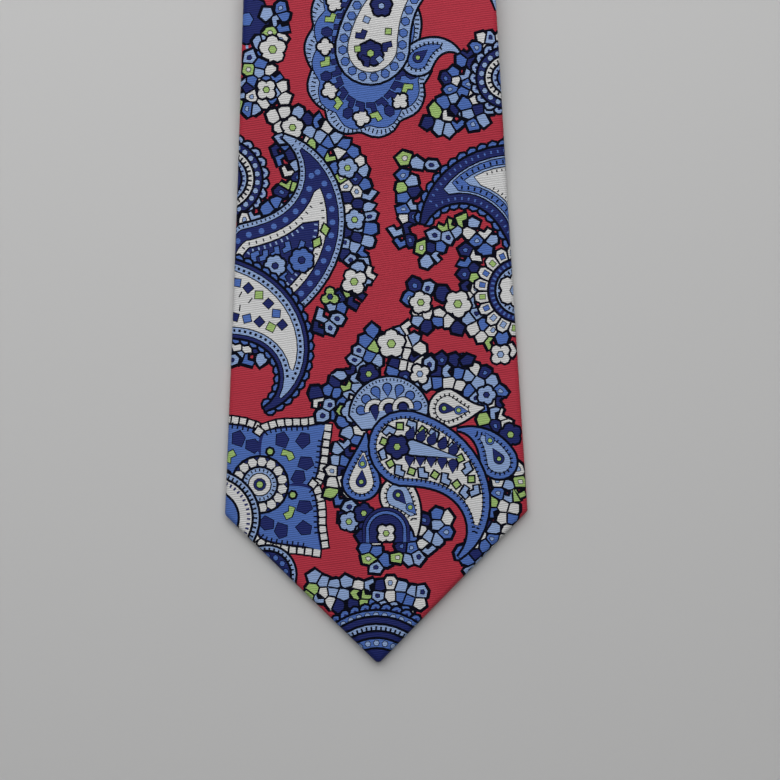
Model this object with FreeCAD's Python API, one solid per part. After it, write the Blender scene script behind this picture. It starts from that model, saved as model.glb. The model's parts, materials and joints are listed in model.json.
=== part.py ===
"""A silk necktie folded once at its neck and laid on a table, the tail under the front blade.

Every piece is placed with three numbers: s, the distance along the tie from the front tip; x, across it;
and n, through it, from 0 on the seam side to THICK on the face. The frame has +Z up, the tie's length
along Y with the front tip at -Y, and its origin on the table under the middle of the folded tie.
"""
import FreeCAD, Part
import math
import os

# Overall sizes, in millimetres
LENGTH = 1480.0              # tip to tip, laid out straight
FOLDED = 850.0               # length once folded
FRONT_WIDTH = 95.0
TAIL_WIDTH = 50.0
NECK_WIDTH = 36.0
THICK = 3.0                  # the finished tie
SILK = 0.35                  # the shell's cloth
LINING = 0.25                # the tipping's cloth
GAP = 0.05                   # between layers inside the shell
ROLL = 0.6                   # chamfer that stands for the rolled edge
FOLD_RADIUS = 5.0            # of the neck fold, at mid thickness

# Heights of the seam side of the front half above the table
OVER_TAIL = 5.0
ON_TABLE = 0.7
RISE_RUN = 110.0             # length over which the front half rises to the fold
DROP_START = 210.0           # s where the front blade has reached the table side
DROP_RUN = -70.0

# Places along the tie, as s
BLUNT = 1.5                              # half width of a tip; both points are right angles
FRONT_CORNER = FRONT_WIDTH / 2 - BLUNT
TAIL_CORNER = LENGTH - TAIL_WIDTH / 2 + BLUNT
TAPER_END = 620.0
NECK_BLEND = 90.0                        # the last narrowing, of 1 mm a side, before the even neck
NECK_END = 1110.0
FRONT_SEAM = 700.0
TAIL_SEAM = 1010.0
LIFT_LINE = 340.0                        # where the blade end lifts
FRONT_MEET = 102.0                       # the seam flaps meet here
FRONT_TAPER = 2.9                        # each side narrows by this between the corner and there
TAIL_MEET = LENGTH - 62.0

# Seam flaps and trims
OVERLAP = 4.0                            # half the width by which the flaps overlap
FRONT_HEM = 10.5
TAIL_HEM = 7.0
TIP_CLOSE = 10.0                         # the hems meet this near a tip
HEM_SLIT = 0.3                           # half the gap between them there
LINING_REACH = 20.0                      # of the tipping beyond the place where the flaps meet
SIDE_SPACE = 0.4                         # between the layers' edges and the rolled edge
THREAD = 0.2                             # thickness of the seam thread
THREAD_WIDTH = 0.5
TACK = (9.0, 1.4, 0.2)                   # bar tack: across, along, high
TACK_PAST = 0.35                         # its middle beyond the place where the flaps meet
KEEPER = (58.0, 10.0, 0.6)               # keeper loop: across, along, thick
KEEPER_SPACE = 0.4                       # between the keeper and the seam side
KEEPER_FOOT = 5.0                        # sewn down at each end
KEEPER_SLOPE = 3.0                       # length over which it leaves the blade
KEEPER_AT = 245.0
LABEL = (60.0, 22.0, 0.3)
LABEL_AT = 275.0
TAIL_LABEL = (22.0, 14.0, 0.3)
TAIL_LABEL_AT = LENGTH - 88.0
LABEL_LIFT = THREAD + 0.05               # a label lies over the seam thread
STITCH = (0.6, 0.15)                     # a stitched row: across, high
STITCH_INSET = (2.0, 1.0)                # its middle from the cloth's end, and its ends from the edges
CARE_TAG = (18.0, 25.0, 0.25)
CARE_TAG_AT = 130.0
CARE_TAG_DEPTH = 0.45                    # of its hinge line below the seam side
CARE_TAG_CLEAR = 0.3                     # from the hinge line to the tag's edge

# The neck fold: a half circle between s = FOLD_IN and s = FOLD_OUT
FOLD_Z = THICK / 2 + FOLD_RADIUS
FOLD_Y = FOLDED / 2 - FOLD_RADIUS - THICK / 2
FOLD_IN = FOLD_Y + FOLDED / 2
FOLD_OUT = FOLD_IN + math.pi * FOLD_RADIUS
LINK_IN = FOLD_IN + math.pi * FOLD_RADIUS / 4
LINK_OUT = FOLD_OUT - math.pi * FOLD_RADIUS / 4
FOLD_STEPS = 3                           # facets in each eighth of a turn
NECK_HINGE = (FOLD_RADIUS + THICK / 2) * math.sqrt(0.5)
LIFT_HINGE_UP = 10.0                     # blade's hinge line above mid thickness


def between(s, points):
    """A value read along straight runs between (s, value) points."""
    for (s0, v0), (s1, v1) in zip(points, points[1:]):
        if s <= s1:
            return v0 + (v1 - v0) * max(0.0, s - s0) / (s1 - s0)
    return points[-1][1]


WIDTHS = [
    (0, BLUNT), (FRONT_CORNER, FRONT_WIDTH / 2), (FRONT_MEET, FRONT_WIDTH / 2 - FRONT_TAPER),
    (TAPER_END, NECK_WIDTH / 2 + 1), (TAPER_END + NECK_BLEND, NECK_WIDTH / 2),
    (NECK_END, NECK_WIDTH / 2),
    (TAIL_CORNER, TAIL_WIDTH / 2), (LENGTH, BLUNT),
]
HEIGHTS = [
    (DROP_START + DROP_RUN, ON_TABLE), (DROP_START, OVER_TAIL),
    (FOLD_IN - RISE_RUN, OVER_TAIL), (FOLD_IN, 2 * FOLD_RADIUS),
]
FLAP_EDGES = [
    (0, HEM_SLIT), (TIP_CLOSE, HEM_SLIT), (FRONT_CORNER, FRONT_WIDTH / 2 - FRONT_HEM),
    (FRONT_MEET, -OVERLAP),
    (TAIL_MEET, -OVERLAP), (TAIL_CORNER, TAIL_WIDTH / 2 - TAIL_HEM), (LENGTH - TIP_CLOSE, HEM_SLIT),
    (LENGTH, HEM_SLIT),
]
BREAKS = sorted({s for table in (WIDTHS, HEIGHTS, FLAP_EDGES) for s, _ in table})


def half_width(s):
    return between(s, WIDTHS)


def flap_edge(s):
    """x of the outer flap's edge; the other flap's edge is its mirror image."""
    return between(s, FLAP_EDGES)


def place(s, x, n):
    """The point at s, x, n in the frame."""
    if s <= FOLD_IN:
        return FreeCAD.Vector(x, s - FOLDED / 2, between(s, HEIGHTS) + n)
    if s >= FOLD_OUT:
        return FreeCAD.Vector(x, FOLD_Y - (s - FOLD_OUT), THICK - n)
    turn = (s - FOLD_IN) / FOLD_RADIUS
    reach = FOLD_RADIUS - THICK / 2 + n
    return FreeCAD.Vector(x, FOLD_Y + reach * math.sin(turn), FOLD_Z + reach * math.cos(turn))


def stations(start, end):
    """The places along a piece where its cross-section is set out."""
    inner = [s for s in BREAKS if start + 0.01 < s < end - 0.01]
    eighth = (LINK_IN - FOLD_IN) / FOLD_STEPS
    for k in range(4 * FOLD_STEPS + 1):
        s = FOLD_IN + k * eighth
        if start + 0.01 < s < end - 0.01:
            inner.append(s)
    return [start] + sorted(set(inner)) + [end]


def strip(start, end, profile):
    """A solid whose cross-section at s is the polygon profile(s), with flat faces between stations."""
    rings = [[place(s, x, n) for x, n in profile(s)] for s in stations(start, end)]
    faces = [Part.Face(Part.makePolygon(ring + ring[:1])) for ring in (rings[0], rings[-1])]
    for a, b in zip(rings, rings[1:]):
        for i in range(len(a)):
            j = (i + 1) % len(a)
            faces.append(Part.Face(Part.makePolygon([a[i], a[j], b[j], b[i], a[i]])))
    solid = Part.makeSolid(Part.makeShell(faces))
    if solid.Volume < 0:
        solid.reverse()
    return solid.removeSplitter()


def bar(x0, x1, n0, n1):
    """The profile of a plain rectangular strip."""
    return lambda s: [(x0, n0), (x1, n0), (x1, n1), (x0, n1)]


def shell_profile(s):
    """The silk shell: face, two rolled edges, and two flaps that overlap down the seam side."""
    w, edge, k = half_width(s), flap_edge(s), SILK
    low = k + GAP                         # the under flap's outer side
    v = w - k
    return [
        (edge, 0), (w - ROLL, 0), (w, ROLL), (w, THICK - ROLL), (w - ROLL, THICK),
        (ROLL - w, THICK), (-w, THICK - ROLL), (-w, low + ROLL), (ROLL - w, low), (-edge, low),
        (-edge, low + k), (ROLL - v, low + k), (-v, low + k + ROLL), (-v, THICK - k - ROLL),
        (ROLL - v, THICK - k), (v - ROLL, THICK - k), (v, THICK - k - ROLL), (v, k + ROLL),
        (v - ROLL, k), (edge, k),
    ]


INSIDE_LOW = 2 * SILK + 2 * GAP           # n of the space inside the shell
INSIDE_HIGH = THICK - SILK - GAP


def tipping_profile(s):
    """The lining at a blade's end, just inside the flaps."""
    w = half_width(s) - SILK - ROLL - SIDE_SPACE
    return [(-w, INSIDE_LOW), (w, INSIDE_LOW), (w, INSIDE_LOW + LINING), (-w, INSIDE_LOW + LINING)]


def interlining_profile(above):
    """The wool interlining, resting on whatever is above n = INSIDE_LOW + above."""
    def profile(s):
        w = half_width(s) - SILK - ROLL - SIDE_SPACE
        low = INSIDE_LOW + above
        return [(-w, low), (w, low), (w, INSIDE_HIGH), (-w, INSIDE_HIGH)]
    return profile


def slip_stitch(start, end):
    """The one thread that closes the seam, run along the outer flap's edge."""
    return strip(start, end, bar(-OVERLAP, THREAD_WIDTH - OVERLAP, -THREAD, 0))


def diagonal(s):
    """A large block whose near face is the upright 45 degree plane across the tie at s."""
    size, high, below = 400.0, 80.0, 20.0
    block = Part.makeBox(size, size, high, FreeCAD.Vector(-size / 2, 0, -below))
    block.rotate(FreeCAD.Vector(0, 0, 0), FreeCAD.Vector(0, 0, 1), 45)
    block.translate(FreeCAD.Vector(0, place(s, 0, 0).y, 0))
    return block


def keeper_profile(s):
    """A flat band that stands off the seam side between its two sewn feet."""
    across, _, thick = KEEPER
    w, inner = across / 2, across / 2 - KEEPER_FOOT
    slope, out = KEEPER_SLOPE, -KEEPER_SPACE
    return [
        (-w, 0), (-w, -thick), (-inner, -thick), (slope - inner, out - thick),
        (inner - slope, out - thick), (inner, -thick), (w, -thick), (w, 0), (inner, 0),
        (inner - slope, out), (slope - inner, out), (-inner, 0),
    ]


def plate(size, at, lift):
    """A flat piece of cloth on the seam side, standing off it by lift."""
    across, along, thick = size
    return strip(at - along / 2, at + along / 2, bar(-across / 2, across / 2, -lift - thick, -lift))


def end_stitches(size, at, depth):
    """Two short rows of stitching at a cloth's left and right ends."""
    across, along, _ = size
    rows = []
    half, high = STITCH[0] / 2, STITCH[1]
    reach = along / 2 - STITCH_INSET[1]
    for side in (-1, 1):
        x = side * (across / 2 - STITCH_INSET[0])
        rows.append(strip(at - reach, at + reach, bar(x - half, x + half, -depth - high, -depth)))
    return Part.makeCompound(rows)


def front_pieces():
    """The front blade and the part of the neck that lies on top."""
    shell = strip(LIFT_LINE, LINK_IN, shell_profile)
    return {
        "front_shell_upper": shell.cut(diagonal(FRONT_SEAM)),
        "neck_shell_front": shell.common(diagonal(FRONT_SEAM)),
        "front_interlining_upper": strip(LIFT_LINE, LINK_IN, interlining_profile(0)),
        "front_slip_stitch_upper": slip_stitch(LIFT_LINE, LINK_IN),
    }


def blade_end_pieces():
    """The end of the front blade, with everything sewn to its seam side."""
    lining_end = FRONT_MEET + LINING_REACH
    plain = strip(lining_end, LIFT_LINE, interlining_profile(0))
    lined = strip(TIP_CLOSE, lining_end, interlining_profile(LINING + GAP))
    return {
        "front_shell_lower": strip(0, LIFT_LINE, shell_profile),
        "front_interlining_lower": plain.fuse(lined).removeSplitter(),
        "front_tipping": strip(TIP_CLOSE, lining_end, tipping_profile),
        "front_slip_stitch_lower": slip_stitch(FRONT_MEET + TACK[1], LIFT_LINE),
        "front_bar_tack": plate(TACK, FRONT_MEET + TACK_PAST, 0),
        "keeper_loop": strip(KEEPER_AT - KEEPER[1] / 2, KEEPER_AT + KEEPER[1] / 2, keeper_profile),
        "keeper_stitches": end_stitches(KEEPER, KEEPER_AT, KEEPER[2]),
        "woven_label": plate(LABEL, LABEL_AT, LABEL_LIFT),
        "woven_label_stitches": end_stitches(LABEL, LABEL_AT, LABEL_LIFT + LABEL[2]),
    }


def fold_pieces():
    """The quarter turn of the neck fold between its two hinge lines."""
    return {
        "neck_fold_shell": strip(LINK_IN, LINK_OUT, shell_profile),
        "neck_fold_interlining": strip(LINK_IN, LINK_OUT, interlining_profile(0)),
        "neck_fold_slip_stitch": slip_stitch(LINK_IN, LINK_OUT),
    }


def tail_pieces():
    """The tail and the part of the neck that lies on the table."""
    shell = strip(LINK_OUT, LENGTH, shell_profile)
    lining_end = TAIL_MEET - LINING_REACH
    plain = strip(LINK_OUT, lining_end, interlining_profile(0))
    lined = strip(lining_end, LENGTH - TIP_CLOSE, interlining_profile(LINING + GAP))
    return {
        "tail_shell": shell.cut(diagonal(TAIL_SEAM)),
        "neck_shell_tail": shell.common(diagonal(TAIL_SEAM)),
        "tail_interlining": plain.fuse(lined).removeSplitter(),
        "tail_tipping": strip(lining_end, LENGTH - TIP_CLOSE, tipping_profile),
        "tail_slip_stitch": slip_stitch(LINK_OUT, TAIL_MEET - TACK[1]),
        "tail_bar_tack": plate(TACK, TAIL_MEET - TACK_PAST, 0),
        "tail_label": plate(TAIL_LABEL, TAIL_LABEL_AT, LABEL_LIFT),
        "tail_label_stitches": end_stitches(TAIL_LABEL, TAIL_LABEL_AT, LABEL_LIFT + TAIL_LABEL[2]),
    }


def care_tag():
    """The small tag that flips about its sewn edge, just below the seam side."""
    across, along, thick = CARE_TAG
    middle = -CARE_TAG_DEPTH
    profile = bar(-across - CARE_TAG_CLEAR, -CARE_TAG_CLEAR, middle - thick / 2, middle + thick / 2)
    return {"care_tag": strip(CARE_TAG_AT - along / 2, CARE_TAG_AT + along / 2, profile)}


def print_joints():
    """Prints the hinge lines, which the record repeats."""
    lower, upper = FOLD_Z - NECK_HINGE, FOLD_Z + NECK_HINGE
    print("neck hinges y", round(FOLD_Y + NECK_HINGE, 3), "z", round(lower, 3), round(upper, 3))
    lift = place(LIFT_LINE, 0, THICK / 2 + LIFT_HINGE_UP)
    print("blade lift y", round(lift.y, 3), "z", round(lift.z, 3))
    tag = place(CARE_TAG_AT, 0, -CARE_TAG_DEPTH)
    print("care tag y", round(tag.y, 3), "z", round(tag.z, 3))


def main():
    os.makedirs("parts", exist_ok=True)
    nodes = {}
    for made in (front_pieces(), blade_end_pieces(), fold_pieces(), tail_pieces(), care_tag()):
        nodes.update(made)
    for name, shape in nodes.items():
        good = shape.isValid() and all(solid.isClosed() for solid in shape.Solids)
        print(f"{name:26s} solids {len(shape.Solids)}  volume {shape.Volume:9.1f}  valid {good}")
        shape.exportStep(f"parts/{name}.step")
    print_joints()


main()
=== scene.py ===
"""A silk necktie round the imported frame: its folded and printed cloth, linings, labels and stitches."""
import json
import math
import random
import bpy
import numpy as np
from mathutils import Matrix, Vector
from mathutils.geometry import delaunay_2d_cdt

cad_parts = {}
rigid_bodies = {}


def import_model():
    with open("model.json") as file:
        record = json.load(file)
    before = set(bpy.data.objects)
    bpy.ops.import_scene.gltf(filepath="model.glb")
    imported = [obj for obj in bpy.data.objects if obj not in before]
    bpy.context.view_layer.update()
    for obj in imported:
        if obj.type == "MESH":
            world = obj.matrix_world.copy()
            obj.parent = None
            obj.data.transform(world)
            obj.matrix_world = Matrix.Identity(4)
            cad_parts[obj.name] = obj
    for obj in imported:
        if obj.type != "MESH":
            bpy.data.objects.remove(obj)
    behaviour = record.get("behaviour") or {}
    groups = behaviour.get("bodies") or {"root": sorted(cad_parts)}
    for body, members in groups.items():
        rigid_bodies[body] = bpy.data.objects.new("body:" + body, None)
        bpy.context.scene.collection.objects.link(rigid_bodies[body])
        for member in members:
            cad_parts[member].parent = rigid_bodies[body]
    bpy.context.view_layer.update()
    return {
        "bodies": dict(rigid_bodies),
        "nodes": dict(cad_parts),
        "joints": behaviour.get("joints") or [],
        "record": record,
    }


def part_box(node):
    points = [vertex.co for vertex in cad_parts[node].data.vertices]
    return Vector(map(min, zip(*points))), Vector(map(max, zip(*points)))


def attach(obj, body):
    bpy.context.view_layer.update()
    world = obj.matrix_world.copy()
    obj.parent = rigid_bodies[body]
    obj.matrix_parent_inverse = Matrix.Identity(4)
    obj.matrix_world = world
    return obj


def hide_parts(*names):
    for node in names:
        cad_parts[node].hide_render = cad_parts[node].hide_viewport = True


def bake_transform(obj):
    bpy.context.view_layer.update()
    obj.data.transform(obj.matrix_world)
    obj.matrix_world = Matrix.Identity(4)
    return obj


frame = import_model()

MM = 0.001
random.seed(7)


def box_mm(node):
    low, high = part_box(node)
    return Vector(low) / MM, Vector(high) / MM


# ---- the tie's measures, in millimetres
SHELLS = ("front_shell_lower", "front_shell_upper", "neck_fold_shell", "tail_shell")
FRONT, UPPER, FOLD, TAIL = (box_mm(node) for node in SHELLS)
HINGES = {joint["name"]: Vector(joint["pos_m"]) / MM for joint in frame["joints"]}
THICK = TAIL[1].z - TAIL[0].z
ON_TABLE, OVER_TAIL = FRONT[0].z, UPPER[0].z
TIP_Y = FRONT[0].y  # the front tip, where s is 0
LIFT_AT = FRONT[1].y - TIP_Y  # the line on which the blade end lifts
FOLD_HIGH = box_mm("neck_shell_front")[1].z
FOLD_RADIUS = (FOLD_HIGH - THICK) / 2
FOLD_Z = FOLD_HIGH / 2
FOLD_Y = FOLD[1].y - FOLD_HIGH / 2
FOLD_IN = FOLD_Y - TIP_Y
FOLD_OUT = FOLD_IN + math.pi * FOLD_RADIUS
FOLD_MID = (FOLD_IN + FOLD_OUT) / 2
LENGTH = FOLD_OUT + FOLD_Y - TAIL[0].y
DROP, RISE = (140.0, 210.0), (FOLD_IN - 110.0, FOLD_IN)  # where the front half changes height

ROLL = THICK / 2  # radius of the rolled edges
TURN = math.pi * ROLL  # cloth round one of them
TIP_UP = 1.0  # from a tip to the face's own point
LIP, TUCK = 0.2, 4.0  # a flap's folded edge: its radius, and the cloth turned under
UNDER = 2 * LIP + 0.05  # the left flap lies this much inside the right one
MITRE = math.tan(math.radians(22.5))
ROOT = math.sqrt(0.5)
FRONT_CORNER, TAIL_CORNER = FRONT[1].x - ROLL, TAIL[1].x - ROLL
# each end's tip, the way inwards from it, its corner's x and its hem
ENDS = ((0.0, 1, FRONT_CORNER, 10.5), (LENGTH, -1, TAIL_CORNER, 7.0))
FRONT_MEET, TAIL_MEET = 102.0, LENGTH - 62.0  # the flaps meet between these
OVERLAP = 4.0  # each flap's reach past the middle
FRONT_SEAM, TAIL_SEAM = 700.0, 1010.0  # the slanting seams of the neck piece
NECK = FOLD[1].x
SIDES = (FRONT_CORNER + TIP_UP, LENGTH - TAIL_CORNER - TIP_UP)  # the two ends' corners along the tie
# half the tie's width, and how far right of the middle the flaps' edges lie, at steps along the tie
WIDTHS = [(SIDES[0], FRONT[1].x), (FRONT_MEET, FRONT[1].x - 2.9), (620, NECK + 1), (710, NECK),
          (1110, NECK), (SIDES[1], TAIL[1].x)]
FLAPS = [(SIDES[0], FRONT_CORNER - 9), (FRONT_MEET, -OVERLAP), (TAIL_MEET, -OVERLAP),
         (SIDES[1], TAIL_CORNER - 5.5)]


def between(s, points):
    return float(np.interp(s, [p[0] for p in points], [p[1] for p in points]))


def smooth(t):
    t = min(1.0, max(0.0, t))
    return t * t * (3 - 2 * t)


def half_width(s):
    return between(s, WIDTHS)


def place(s, x, n):
    """The point at s along the tie, x across it and n from its seam side, in metres."""
    if s <= FOLD_IN:
        z = (ON_TABLE + (OVER_TAIL - ON_TABLE) * smooth((s - DROP[0]) / (DROP[1] - DROP[0]))
             + (FOLD_HIGH - THICK - OVER_TAIL) * smooth((s - RISE[0]) / (RISE[1] - RISE[0])))
        point = (x, TIP_Y + s, z + n)
    elif s >= FOLD_OUT:
        point = (x, FOLD_Y - (s - FOLD_OUT), THICK - n)
    else:
        turn = (s - FOLD_IN) / FOLD_RADIUS
        reach = FOLD_RADIUS - THICK / 2 + n
        point = (x, FOLD_Y + reach * math.sin(turn), FOLD_Z + reach * math.cos(turn))
    return Vector(point) * MM


# ---- camera, light and table
VIEW_WIDTH, VIEW_FAR = 244.5, 760.0  # what the picture spans at the tie, and the camera's height
VIEW_S, VIEW_X, VIEW_TURN = 84.9, 4.8, -0.75  # the picture's middle, and its turn in degrees
# each lamp's name, place, size in metres, power and the point it faces
LAMPS = (("key", (-0.1, 0.1, 0.54), 0.9, 3.3, (0, -0.3, 0)),
         ("fill", (0.5, 0.3, 2.2), 2.5, 9.0, (0, 0.2, 0)),
         ("ceiling", (0, 0.8, 1.4), 2.0, 8.0, (0, 0.4, 0)))
ROOM_COLOUR, ROOM_LIGHT = (0.97, 0.98, 1.0, 1), 0.12
TABLE_SIZE, TABLE_COLOUR, TABLE_ROUGH = 12, (0.62, 0.618, 0.614, 1), 0.85


def studio():
    lens_data = bpy.data.cameras.new("camera")
    lens_data.lens = lens_data.sensor_width * VIEW_FAR / VIEW_WIDTH
    camera = bpy.data.objects.new("camera", lens_data)
    camera.location = place(VIEW_S, VIEW_X, THICK) + Vector((0, 0, VIEW_FAR * MM))
    camera.rotation_euler = (0, 0, math.radians(VIEW_TURN))
    bpy.context.scene.collection.objects.link(camera)
    bpy.context.scene.camera = camera
    bpy.context.scene.view_settings.view_transform = "Standard"
    for name, at, size, power, aim in LAMPS:
        lamp = bpy.data.lights.new(name, "AREA")
        lamp.size, lamp.energy = size, power
        light = bpy.data.objects.new(name, lamp)
        light.location = at
        light.visible_camera = False
        light.rotation_euler = (Vector(aim) - Vector(at)).to_track_quat("-Z", "Y").to_euler()
        bpy.context.scene.collection.objects.link(light)
    world = bpy.data.worlds.new("room")
    bpy.context.scene.world = world
    world.use_nodes = True
    room = world.node_tree.nodes["Background"].inputs
    room["Color"].default_value = ROOM_COLOUR
    room["Strength"].default_value = ROOM_LIGHT
    bpy.ops.mesh.primitive_plane_add(size=TABLE_SIZE, location=(0, 0, 0))
    table = bpy.context.object
    table.name = "floor"
    paper = bpy.data.materials.new("pale_table")
    paper.use_nodes = True
    shader = paper.node_tree.nodes["Principled BSDF"]
    shader.inputs["Base Color"].default_value = TABLE_COLOUR
    shader.inputs["Roughness"].default_value = TABLE_ROUGH
    table.data.materials.append(paper)


studio()


# ---- the printed design, in millimetres
LINE = 0.78  # the dark line outside each shape


def curve(points, steps=4):
    """A smooth line through a few points."""
    out = []
    for i in range(len(points) - 1):
        a, b, c, d = points[max(i - 1, 0)], points[i], points[i + 1], points[min(i + 2, len(points) - 1)]
        for k in range(steps):
            t = k / steps
            out.append(tuple(0.5 * (2 * q + (r - p) * t + (2 * p - 5 * q + 4 * r - e) * t * t
                                    + (3 * q - p - 3 * r + e) * t ** 3)
                             for p, q, r, e in zip(a, b, c, d)))
    out.append(tuple(points[-1]))
    return out


def shifted(points, offset, closed=False):
    """A line moved sideways: to its right where offset is above zero."""
    n = len(points)
    out = []
    for i, (x, y) in enumerate(points):
        a = points[(i - 1) % n] if closed or i > 0 else points[i]
        b = points[(i + 1) % n] if closed or i < n - 1 else points[i]
        dx, dy = b[0] - a[0], b[1] - a[1]
        length = math.hypot(dx, dy) or 1.0
        out.append((x + dy / length * offset, y - dx / length * offset))
    return out


def area(points):
    return sum(x0 * y1 - x1 * y0 for (x0, y0), (x1, y1) in zip(points, points[1:] + points[:1])) / 2


def grown(points, by):
    return shifted(points, by if area(points) > 0 else -by, closed=True)


def along(points, gap, phase=0.5):
    """(x, y, direction in degrees) at even steps of about gap along a line."""
    lengths = [math.dist(a, b) for a, b in zip(points, points[1:])]
    count = max(1, round(sum(lengths) / gap))
    out, i, walked = [], 0, 0.0
    for k in range(count):
        want = (k + phase) * sum(lengths) / count
        while i < len(lengths) - 1 and walked + lengths[i] < want:
            walked += lengths[i]
            i += 1
        t = (want - walked) / (lengths[i] or 1)
        a, b = points[i], points[i + 1]
        out.append((a[0] + (b[0] - a[0]) * t, a[1] + (b[1] - a[1]) * t,
                    math.degrees(math.atan2(b[1] - a[1], b[0] - a[0]))))
    return out


def moved(points, x, y, degrees=0.0):
    c, s = math.cos(math.radians(degrees)), math.sin(math.radians(degrees))
    return [(x + c * px - s * py, y + s * px + c * py) for px, py in points]


def larger(points, by):
    return [(x * by, y * by) for x, y in points]


def arc(r, start, end, x=0.0, y=0.0):
    steps = max(3, int(abs(end - start) / 11))
    turns = (math.radians(start + (end - start) * k / steps) for k in range(steps + 1))
    return [(x + r * math.cos(a), y + r * math.sin(a)) for a in turns]


def ring(r, sides, squeeze=1.0):
    turns = [math.tau * k / sides for k in range(sides)]
    return [(r * math.cos(a), squeeze * r * math.sin(a)) for a in turns]


def drop(length, r):
    """A small teardrop: round at the origin, pointed at +X."""
    lean = math.degrees(math.acos(min(1.0, r / length)))
    return arc(r, lean, 360 - lean)[::2] + [(length, 0.0)]


def paisley(length, width, bend, inset=0.0):
    """The edge of a teardrop whose spine starts at the origin along +X and turns by bend degrees towards
    its tip. It runs from the tip round the head and back; inset moves it inwards."""
    r = width / 2
    stations = [(r - r * math.cos(a), r * math.sin(a)) for a in (math.pi / 12 * k for k in range(6))]
    for u in (k / 18 for k in range(19)):
        stations.append((r + (length - r) * u, r * (0.5 - 0.5 * u + 0.25 * (1 + math.cos(math.pi * u)))))
    x = y = done = 0.0
    left, right = [], []
    for s, half in stations:
        for k in range(5):
            way = math.radians(bend) * ((done + (s - done) * (k + 0.5) / 5) / length) ** 1.65
            x += math.cos(way) * (s - done) / 5
            y += math.sin(way) * (s - done) / 5
        done = s
        way = math.radians(bend) * (s / length) ** 1.65
        left.append((x - math.sin(way) * half, y + math.cos(way) * half, half, s))
        right.append((x + math.sin(way) * half, y - math.cos(way) * half, half, s))
    edge = left[::-1] + right[1:]
    keep = [s < r or half > inset * 1.06 for _, _, half, s in edge]
    line = shifted([p[:2] for p in edge], -inset) if inset else [p[:2] for p in edge]
    return [p for p, kept in zip(line, keep) if kept]


def lobed(points, lobes, depth):
    """A line with rounded lobes that bulge to its right."""
    spots = along(points, 1.5)
    waves = (depth * abs(math.sin(math.pi * lobes * k / len(spots))) for k in range(len(spots)))
    return [(x + math.sin(math.radians(way)) * wave, y - math.cos(math.radians(way)) * wave)
            for (x, y, way), wave in zip(spots, waves)]


def clipped(points, x, y, nx, ny):
    """The part of a closed outline on the near side of the line at x, y that faces nx, ny."""
    out = []
    side = [(px - x) * nx + (py - y) * ny for px, py in points]
    for k, a in enumerate(points):
        b, sa, sb = points[(k + 1) % len(points)], side[k], side[(k + 1) % len(points)]
        if sa <= 0:
            out.append(a)
        if sa * sb < 0:
            t = sa / (sa - sb)
            out.append((a[0] + (b[0] - a[0]) * t, a[1] + (b[1] - a[1]) * t))
    return out


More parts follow.
